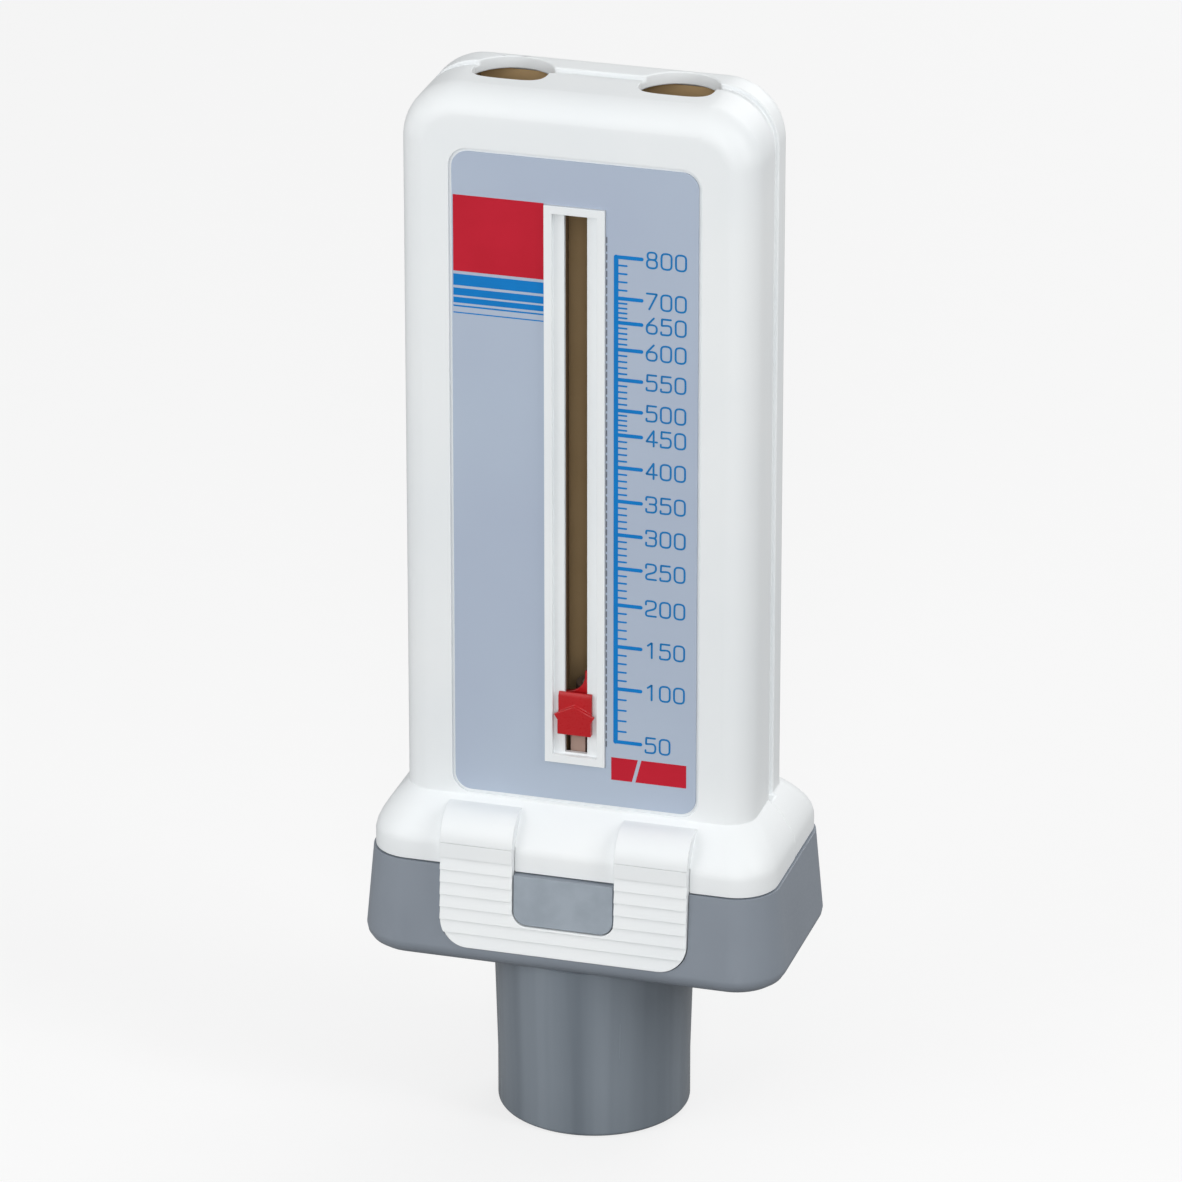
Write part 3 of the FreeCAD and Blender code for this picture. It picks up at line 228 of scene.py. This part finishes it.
def eased(node, body, material, width, change=None):
    """A copy of a solid's skin with its flat areas made whole, its curved areas shaded smooth and each
    edge rounded to a real width, as a mould leaves it. With no width the facets and edges stay as they
    are. A change is a function that reworks the skin first."""
    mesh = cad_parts[node].data.copy()
    mesh.name = node + "_skin"
    work = bmesh.new()
    work.from_mesh(mesh)
    bmesh.ops.remove_doubles(work, verts=work.verts, dist=WELD * MM)
    if change:
        change(work)
    if width:
        bmesh.ops.dissolve_limit(work, angle_limit=FLAT_BELOW, verts=work.verts, edges=work.edges)
    for face in work.faces:
        face.smooth = True
    for edge in work.edges:
        edge.smooth = edge.calc_face_angle(0) < SMOOTH_BELOW
    work.to_mesh(mesh)
    work.free()
    piece = bpy.data.objects.new(node + "_skin", mesh)
    bpy.context.scene.collection.objects.link(piece)
    if width:
        bevel = piece.modifiers.new("eased_edges", "BEVEL")
        bevel.limit_method = "ANGLE"
        bevel.angle_limit = SMOOTH_BELOW
        bevel.width = width * MM
        bevel.segments = 2
        bevel.use_clamp_overlap = True
    even = piece.modifiers.new("even_shading", "WEIGHTED_NORMAL")
    even.keep_sharp = True
    finish_piece(piece, body, material)
    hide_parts(node)
    return piece


eased("front_casing", "casing", abs_white, 0.22, narrow_outlets)
foot = eased("base_housing", "casing", abs_grey, 0.2)
# The catch block's faces, in front and between the clip's legs, have the coarse finish.
BLOCK_HALF = 7.6
BLOCK_LOW = 30
foot.data.materials.append(abs_grey_coarse)
for face in foot.data.polygons:
    spots = [foot.data.vertices[number].co / MM for number in face.vertices]
    if all(abs(x) < BLOCK_HALF and y < 0 and z > BLOCK_LOW for x, y, z in spots):
        face.material_index = 1
for node, body, slot, material, width in (
    ("rear_casing", "casing", "casing_white", abs_white, 0.22),
    ("base_latch", "latch", "casing_white", abs_white, 0.08),
    ("pointer", "slider", "pointer_red", abs_red, 0.12),
    ("pointer_keeper", "slider", "pointer_red", abs_red, 0.06),
    ("flow_duct", "casing", "duct_brown", acetal_brown, 0),
    # The back plate's lighter tan is painted light.
    ("duct_back_plate", "casing", "duct_brown", acetal_brown_painted_light, 0),
    ("inlet_grid", "casing", "duct_brown", acetal_brown, 0),
    # The piston's darker colour is painted shade.
    ("piston_vane", "piston", "piston_plastic", acetal_natural_painted_shade, 0.12),
    ("piston_bush", "piston", "bush_plastic", bush_ivory, 0.06),
    ("guide_rod", "casing", "steel", steel, 0.15),
    ("lower_rod_clip", "casing", "steel", steel, 0.06),
    ("upper_rod_clip", "casing", "steel", steel, 0.06),
    ("duct_screws", "casing", "steel", steel, 0.06),
    ("top_buffer", "casing", "soft_rubber", rubber, 0.15),
    ("base_seal", "casing", "soft_rubber", rubber, 0),
    ("scale_label", "casing", "label_film", film, 0.03),
):
    eased(node, body, material, width)


# Pieces worked out as surfaces

def skin(name, parts):
    """A mesh of closed skins. Each part is an array of rings (steps, corners, 3) in millimetres and whether
    it loops. Each ring joins the next by four-sided faces. A part that doesn't loop gets end faces."""
    corners, faces, start = [], [], 0
    for rings, loops in parts:
        steps, count = rings.shape[:2]
        here = np.arange(steps if loops else steps - 1)[:, None]
        side = np.arange(count)[None, :]
        there, after = (here + 1) % steps, (side + 1) % count
        quads = np.stack(np.broadcast_arrays(
            here * count + side, here * count + after, there * count + after, there * count + side,
        ), axis=-1).reshape(-1, 4)
        faces += (quads + start).tolist()
        if not loops:
            faces.append((start + np.arange(count)[::-1]).tolist())
            faces.append((start + (steps - 1) * count + np.arange(count)).tolist())
        corners.append(rings.reshape(-1, 3) * MM)
        start += steps * count
    mesh = bpy.data.meshes.new(name)
    mesh.from_pydata(np.concatenate(corners).tolist(), [], faces)
    work = bmesh.new()
    work.from_mesh(mesh)
    bmesh.ops.recalc_face_normals(work, faces=work.faces)
    for face in work.faces:
        face.smooth = True
    for edge in work.edges:
        edge.smooth = edge.calc_face_angle(0) < SMOOTH_BELOW
    work.to_mesh(mesh)
    work.free()
    piece = bpy.data.objects.new(name, mesh)
    bpy.context.scene.collection.objects.link(piece)
    return piece


def millimetres(node):
    """A solid's lowest and highest corner, in millimetres."""
    low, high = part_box(node)
    return np.array(low) / MM, np.array(high) / MM


def turned(profile, segments=128):
    """A closed profile of (radius, height) points carried round the Z axis: x = r cos a, y = r sin a."""
    radius, height = np.asarray(profile, float).T
    angle = np.linspace(0, 2 * math.pi, segments, endpoint=False)[:, None]
    rings = np.stack([radius * np.cos(angle), radius * np.sin(angle), height + 0 * angle], axis=-1)
    return rings, True


def quarter(centre, radius, start, steps=5):
    """Points of a quarter circle in a profile, from a start angle in degrees, turning left."""
    angle = np.radians(np.linspace(start, start + 90, steps))
    return np.stack([centre[0] + radius * np.cos(angle), centre[1] + radius * np.sin(angle)], axis=1)


def rounded_path(corners, radius, loops=False, steps=5):
    """A path with soft corners. Each corner c between a and b, both a set distance from it, becomes the
    curve (1-t)(1-t)a + 2t(1-t)c + tt b. The distance is less than half of the shorter side."""
    middle = np.asarray(corners, float)
    before = np.roll(middle, 1, 0) - middle
    after = np.roll(middle, -1, 0) - middle
    longs = [np.linalg.norm(way, axis=1, keepdims=True) for way in (before, after)]
    reach = np.minimum(radius, 0.48 * np.minimum(*longs))
    first, last = middle + before / longs[0] * reach, middle + after / longs[1] * reach
    if not loops:
        first[[0, -1]] = last[[0, -1]] = middle[[0, -1]]
    t = np.linspace(0, 1, steps)[None, :, None]
    curve = (1 - t) ** 2 * first[:, None] + 2 * t * (1 - t) * middle[:, None] + t ** 2 * last[:, None]
    path = curve.reshape(-1, 2)
    far = np.linalg.norm(path - np.roll(path, 1, 0), axis=1) > 1e-6
    far[0] = True
    return path[far]


# The ink stands a little proud of the film and reaches into it, so that it has no gap behind it.
film_low = millimetres("scale_label")[0]
INK_PROUD = 0.02
INK_DEPTH = 0.05
INK_FACE = film_low[1] - INK_PROUD
INK_BACK = film_low[1] + INK_DEPTH


def inked(path, width, loops=False, lift=0):
    """A printed line: a flat bar of ink carried along (x, z) points. At a free end its half width falls
    off as a half circle. The lift keeps lines that cross out of one plane."""
    path = np.asarray(path, float)
    if loops:
        step = np.roll(path, -1, 0) - np.roll(path, 1, 0)
    else:
        step = np.gradient(path, axis=0)
    along = step / np.linalg.norm(step, axis=1, keepdims=True)
    half = np.full(len(path), width / 2)
    if not loops:
        turn = np.radians([80, 50, 25])
        tips = width / 2 * np.sin(turn)[:, None]
        path = np.concatenate([path[:1] - tips * along[:1], path, path[-1:] + tips[::-1] * along[-1:]])
        along = np.concatenate([along[:1].repeat(3, 0), along, along[-1:].repeat(3, 0)])
        half = np.concatenate([width / 2 * np.cos(turn), half, width / 2 * np.cos(turn[::-1])])
    side = np.stack([-along[:, 1], along[:, 0]], axis=1) * half[:, None]
    rings = np.empty((len(path), 4, 3))
    rings[:, :, 1] = (INK_FACE - lift, INK_FACE - lift, INK_BACK, INK_BACK)
    rings[:, (0, 3), ::2] = (path + side)[:, None]
    rings[:, (1, 2), ::2] = (path - side)[:, None]
    return rings, loops


def patch(bottom, top, low, high):
    """A printed patch with level edges: from x to x at the bottom and from x to x at the top."""
    rings = np.empty((2, 4, 3))
    rings[:, :, 1] = (INK_FACE, INK_FACE, INK_BACK, INK_BACK)
    rings[0, :, 0] = (bottom[0], bottom[1], bottom[1], bottom[0])
    rings[1, :, 0] = (top[0], top[1], top[1], top[0])
    rings[:, :, 2] = ((low,), (high,))
    return rings, False


# Inlet stub: straight at its mouth, then slightly wider towards the foot, with soft lips.
stub_low, stub_high = millimetres("inlet_stub")
STUB_BORE = 12.2
STUB_MOUTH = 14.0
STUB_STRAIGHT = 8.0
STUB_VISIBLE = 26.6
STUB_SPIGOT = 13.5
STUB_CHAMFER = 0.3
LIP = 0.7
stub_profile = np.concatenate([
    quarter((STUB_BORE + LIP, stub_low[2] + LIP), LIP, 180),
    quarter((STUB_MOUTH - LIP, stub_low[2] + LIP), LIP, 270),
    [(STUB_MOUTH, STUB_STRAIGHT), (stub_high[0], STUB_VISIBLE - STUB_CHAMFER)],
    [(stub_high[0] - STUB_CHAMFER, STUB_VISIBLE), (STUB_SPIGOT, STUB_VISIBLE)],
    [(STUB_SPIGOT, stub_high[2]), (STUB_BORE, stub_high[2])],
])
stub = skin("inlet_stub_turned", [turned(stub_profile)])
# The tube's upright lighter and darker bands are painted reflections.
finish_piece(stub, "casing", tube_grey_painted_reflections)
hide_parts("inlet_stub")

# Return spring: wire carried along a helix, which opens as the piston rises. The wire's section is made
# flat at rest, so that it would come out round about half way if the coil were drawn out upwards. Both
# sizes of the wire are half sizes.
spring_low, spring_high = millimetres("return_spring")
COILS = 17
WIRE_ACROSS = 0.36
WIRE_UP = 0.07
STEPS_PER_COIL = 28
WIRE_SIDES = 10
angle = np.linspace(0, 2 * math.pi * COILS, COILS * STEPS_PER_COIL)[:, None]
around = np.linspace(0, 2 * math.pi, WIRE_SIDES, endpoint=False)[None, :]
reach = spring_high[0] - WIRE_ACROSS + WIRE_ACROSS * np.cos(around)
level = spring_low[2] + WIRE_UP + (spring_high[2] - spring_low[2] - 2 * WIRE_UP) * angle / angle[-1]
coil = np.stack([
    reach * np.cos(angle), reach * np.sin(angle), level + WIRE_UP * np.sin(around),
], axis=-1)
spring = skin("return_spring_coil", [(coil, False)])
spring.data.materials.append(spring_wire)
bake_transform(spring)
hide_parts("return_spring")

# The scale: where each reading lies on the film.
READINGS = {
    50: 61.4, 100: 69.6, 150: 76.1, 200: 82.5, 250: 88.1, 300: 93.2, 350: 98.3, 400: 103.4, 450: 108.3,
    500: 112.0, 550: 116.6, 600: 121.1, 650: 125.1, 700: 128.7, 800: 134.8,
}
SCALE_LEFT = 5.98
SCALE_LINE = 0.66
LONG_TICK_END = 9.65
LONG_TICK = 0.55
SHORT_TICK_END = 7.5
SHORT_TICK = 0.26
NUMERAL_LEFT = 10.4
NUMERAL_HIGH = 2.3
NUMERAL_WIDE = 1.45
NUMERAL_PITCH = 2.08
STROKE = 0.28
# Lines that cross are printed one over the other, each coat this much nearer to the eye.
COAT = 0.006
SUBDIVISIONS = 5

# Each numeral is one or two strokes through corners given as shares of its width and height, each with
# whether it closes on itself.
STROKES = {
    "0": [([(0, 0), (1, 0), (1, 1), (0, 1)], True)],
    "1": [([(0.2, 0.8), (0.6, 1), (0.6, 0)], False)],
    "2": [([(0, 0.75), (0, 1), (1, 1), (1, 0.52), (0, 0.3), (0, 0), (1, 0)], False)],
    "3": [([(0, 0.8), (0, 1), (1, 1), (1, 0.54), (0.35, 0.54)], False),
          ([(0.35, 0.54), (1, 0.54), (1, 0), (0, 0), (0, 0.2)], False)],
    "4": [([(0.72, 0), (0.72, 1)], False), ([(0.72, 1), (0, 0.28), (1.05, 0.28)], False)],
    "5": [([(0.95, 1), (0.08, 1), (0.05, 0.58), (1, 0.64), (1, 0), (0, 0), (0, 0.16)], False)],
    "6": [([(0, 0), (1, 0), (1, 0.56), (0, 0.56)], True), ([(0.7, 1), (0, 0.5), (0, 0.25)], False)],
    "7": [([(0, 1), (1, 1), (0.25, 0)], False)],
    "8": [([(0.06, 0.54), (0.94, 0.54), (0.94, 1), (0.06, 1)], True),
          ([(0, 0), (1, 0), (1, 0.54), (0, 0.54)], True)],
}
# How far from a corner a stroke starts to turn. The 5 has sharp corners at its top and round ones below.
ROUND = 0.62
SOFT = {"1": 0.05, "4": 0.08, "5": [[r] for r in (0, 0.05, 0.08, ROUND, ROUND, ROUND, 0)], "7": 0.1}


def numeral(sign, left, middle):
    """The strokes of one numeral, its left edge and its middle height on the film."""
    parts = []
    for number, (corners, loops) in enumerate(STROKES[sign]):
        spots = np.array(corners) * (NUMERAL_WIDE, NUMERAL_HIGH) + (left, middle - NUMERAL_HIGH / 2)
        path = rounded_path(spots, SOFT.get(sign, ROUND), loops)
        parts.append(inked(path, STROKE, loops, number * COAT))
    return parts


heights = list(READINGS.values())
lines = [inked([(SCALE_LEFT, heights[0]), (SCALE_LEFT, heights[-1])], SCALE_LINE)]
for low, high in zip(heights, heights[1:]):
    for share in range(1, SUBDIVISIONS):
        level = low + (high - low) * share / SUBDIVISIONS
        lines.append(inked([(SCALE_LEFT, level), (SHORT_TICK_END, level)], SHORT_TICK, lift=COAT))
for level in heights:
    lines.append(inked([(SCALE_LEFT, level), (LONG_TICK_END, level)], LONG_TICK, lift=COAT))
finish_piece(skin("scale_ticks", lines), "casing", ink_blue)

signs = []
for reading, level in READINGS.items():
    for place, sign in enumerate(str(reading)):
        signs += numeral(sign, NUMERAL_LEFT + place * NUMERAL_PITCH, level)
finish_piece(skin("scale_numerals", signs), "casing", ink_numerals)

# The bare red field, the stripes under it and the bare split box under the scale.
FIELD_INSET = 0.2
FIELD_LEFT = film_low[0] + FIELD_INSET
FIELD_RIGHT = -4.5
FIELD_LOW = 130.3
FIELD_HIGH = 141.6
BOX_LEFT = 5.35
BOX_RIGHT = 16.4
BOX_LOW = 55.4
BOX_HIGH = 58.9
SPLIT_LOW = 8.4
SPLIT_HIGH = 9.28
SPLIT_WIDE = 0.52
field = [
    patch((FIELD_LEFT, FIELD_RIGHT), (FIELD_LEFT, FIELD_RIGHT), FIELD_LOW, FIELD_HIGH),
    patch((BOX_LEFT, SPLIT_LOW), (BOX_LEFT, SPLIT_HIGH), BOX_LOW, BOX_HIGH),
    patch((SPLIT_LOW + SPLIT_WIDE, BOX_RIGHT), (SPLIT_HIGH + SPLIT_WIDE, BOX_RIGHT), BOX_LOW, BOX_HIGH),
]
finish_piece(skin("red_fields", field), "casing", ink_red)

# Each stripe's thickness and the gap under it, from the top down.
STRIPES_GAP = 0.45
STRIPES = ((1.68, 0.39), (1.09, 0.29), (0.83, 0.35), (0.23, 0.8), (0.17, 0))
stripes = []
level = FIELD_LOW - STRIPES_GAP
for thick, gap in STRIPES:
    stripes.append(patch((FIELD_LEFT, FIELD_RIGHT), (FIELD_LEFT, FIELD_RIGHT), level - thick, level))
    level -= thick + gap
finish_piece(skin("blue_stripes", stripes), "casing", ink_blue)

# The dashed line between the slot's frame and the scale.
CUT_LINE = 4.62
CUT_LOW = 60.5
CUT_HIGH = 137
DASH = 0.75
DASH_WIDE = 0.18
DASH_PITCH = 1.25
dashes = [
    inked([(CUT_LINE, low), (CUT_LINE, low + DASH)], DASH_WIDE)
    for low in np.arange(CUT_LOW, CUT_HIGH, DASH_PITCH)
]
finish_piece(skin("cut_line", dashes), "casing", ink_grey)


# Floor, light and camera

def aim(item, place, target):
    """Puts a lamp or the camera at a place, looking at a target."""
    item.location = place
    item.rotation_mode = "QUATERNION"
    item.rotation_quaternion = (Vector(target) - Vector(place)).to_track_quat("-Z", "Y")
    bpy.context.scene.collection.objects.link(item)
    return item


def around_object(azimuth, elevation, distance, centre):
    """A place round the object: azimuth 0 is in front of it and 90 on its right."""
    a, e = math.radians(azimuth), math.radians(elevation)
    way = Vector((math.sin(a) * math.cos(e), -math.cos(a) * math.cos(e), math.sin(e)))
    return Vector(centre) + distance * way


# What the lamps face and the camera circles, in metres.
MIDDLE = (0, 0, 0.084)


def soft_lamp(name, azimuth, elevation, distance, width, height, power):
    """A rectangular lamp that faces the object: degrees, then metres, then watts."""
    data = bpy.data.lights.new(name, "AREA")
    data.shape = "RECTANGLE"
    data.size = width
    data.size_y = height
    data.energy = power
    place = around_object(azimuth, elevation, distance, MIDDLE)
    aim(bpy.data.objects.new(name, data), place, MIDDLE).visible_camera = False


soft_lamp("key_softbox", -38, 17, 0.6, 0.42, 0.42, 1.35)
soft_lamp("front_softbox", 16, 18, 1.6, 0.35, 0.8, 7.5)
soft_lamp("right_softbox", 75, 30, 0.5, 0.14, 0.32, 0.88)
soft_lamp("left_strip", -75, 12, 1.1, 0.16, 0.7, 1.0)
soft_lamp("rear_softbox", 165, 28, 1.3, 0.9, 0.9, 6.5)

# How white the room and the floor are as lights, and as the camera sees them. In a shiny surface they
# show by this share of the difference.
MIRRORED = 0.1
ROOM_LIGHT = 0.42
ROOM_SEEN = 0.93
BOARD_LIGHT = 0.2
BOARD_SEEN = 0.85
BOARD_GLOW = 0.72


def seen_white(tree):
    """1 for what the camera sees straight on, a smaller share for what it sees in a shiny or clear surface,
    and 0 for what lights the object."""
    path = put(tree, "ShaderNodeLightPath")
    either = put(tree, "ShaderNodeMath", (("operation", "MAXIMUM"),), (
        (0, path.outputs["Is Glossy Ray"]), (1, path.outputs["Is Transmission Ray"]),
    ))
    return put(tree, "ShaderNodeMath", (("operation", "MULTIPLY_ADD"),), (
        (0, either.outputs[0]), (1, MIRRORED), (2, path.outputs["Is Camera Ray"]),
    )).outputs[0]


def studio_room():
    """A white room all round, dimmer as a light than the camera sees it."""
    world = bpy.data.worlds.new("studio_room")
    world.use_nodes = True
    tree = world.node_tree
    tree.nodes.clear()
    level = put(tree, "ShaderNodeMapRange", inputs=(
        ("Value", seen_white(tree)), ("To Min", ROOM_LIGHT), ("To Max", ROOM_SEEN),
    ))
    room = put(tree, "ShaderNodeBackground", inputs=(
        ("Color", linear("#ffffff")), ("Strength", level.outputs["Result"]),
    ))
    put(tree, "ShaderNodeOutputWorld", inputs=(("Surface", room.outputs["Background"]),))
    return world


def painted_board():
    """White painted board with a fine grain. The camera sees it near white, partly by its own glow, and it
    still takes the object's shadow."""
    board, tree = blank("painted_board_white")
    seen = seen_white(tree)
    shown = put(tree, "ShaderNodeMapRange", inputs=(
        ("Value", seen), ("To Min", BOARD_LIGHT), ("To Max", BOARD_SEEN),
    ))
    grain = put(tree, "ShaderNodeTexNoise", inputs=(("Scale", 900.0),))
    speckle = put(tree, "ShaderNodeMapRange", inputs=(
        ("Value", grain.outputs["Fac"]), ("To Min", 0.97), ("To Max", 1.0),
    ))
    tone = put(tree, "ShaderNodeMath", (("operation", "MULTIPLY"),), (
        (0, speckle.outputs["Result"]), (1, shown.outputs["Result"]),
    ))
    paint = put(tree, "ShaderNodeBsdfDiffuse", inputs=(("Color", tone.outputs[0]),))
    glow = put(tree, "ShaderNodeEmission", inputs=(("Color", linear("#ffffff")), ("Strength", 1.0)))
    share = put(tree, "ShaderNodeMath", (("operation", "MULTIPLY"),), ((0, seen), (1, BOARD_GLOW)))
    mixed = put(tree, "ShaderNodeMixShader", inputs=(
        (0, share.outputs[0]), (1, paint.outputs["BSDF"]), (2, glow.outputs["Emission"]),
    ))
    put(tree, "ShaderNodeOutputMaterial", inputs=(("Surface", mixed.outputs["Shader"]),))
    return board


bpy.context.scene.world = studio_room()
FLOOR_HALF = 4.0
floor_mesh = bpy.data.meshes.new("floor")
floor_mesh.from_pydata(
    [(-FLOOR_HALF, -FLOOR_HALF, 0), (FLOOR_HALF, -FLOOR_HALF, 0), (FLOOR_HALF, FLOOR_HALF, 0),
     (-FLOOR_HALF, FLOOR_HALF, 0)], [], [(0, 1, 2, 3)],
)
floor = bpy.data.objects.new("floor", floor_mesh)
bpy.context.scene.collection.objects.link(floor)
floor_mesh.materials.append(painted_board())

# The camera stands to the right of the printed face and above it: degrees and metres. The sensor and the
# lens are in millimetres.
CAMERA_AZIMUTH = 16.23
CAMERA_ELEVATION = 22.97
CAMERA_DISTANCE = 1.126
SENSOR = 36
LENS = 241.7
AIM = (-0.0005, 0, 0.0798)
camera = bpy.data.cameras.new("photo_camera")
camera.sensor_width = SENSOR
camera.lens = LENS
camera.clip_start = 0.05
camera.clip_end = 20
bpy.context.scene.camera = aim(
    bpy.data.objects.new("photo_camera", camera),
    around_object(CAMERA_AZIMUTH, CAMERA_ELEVATION, CAMERA_DISTANCE, MIDDLE), AIM,
)
bpy.context.scene.view_settings.view_transform = "Standard"
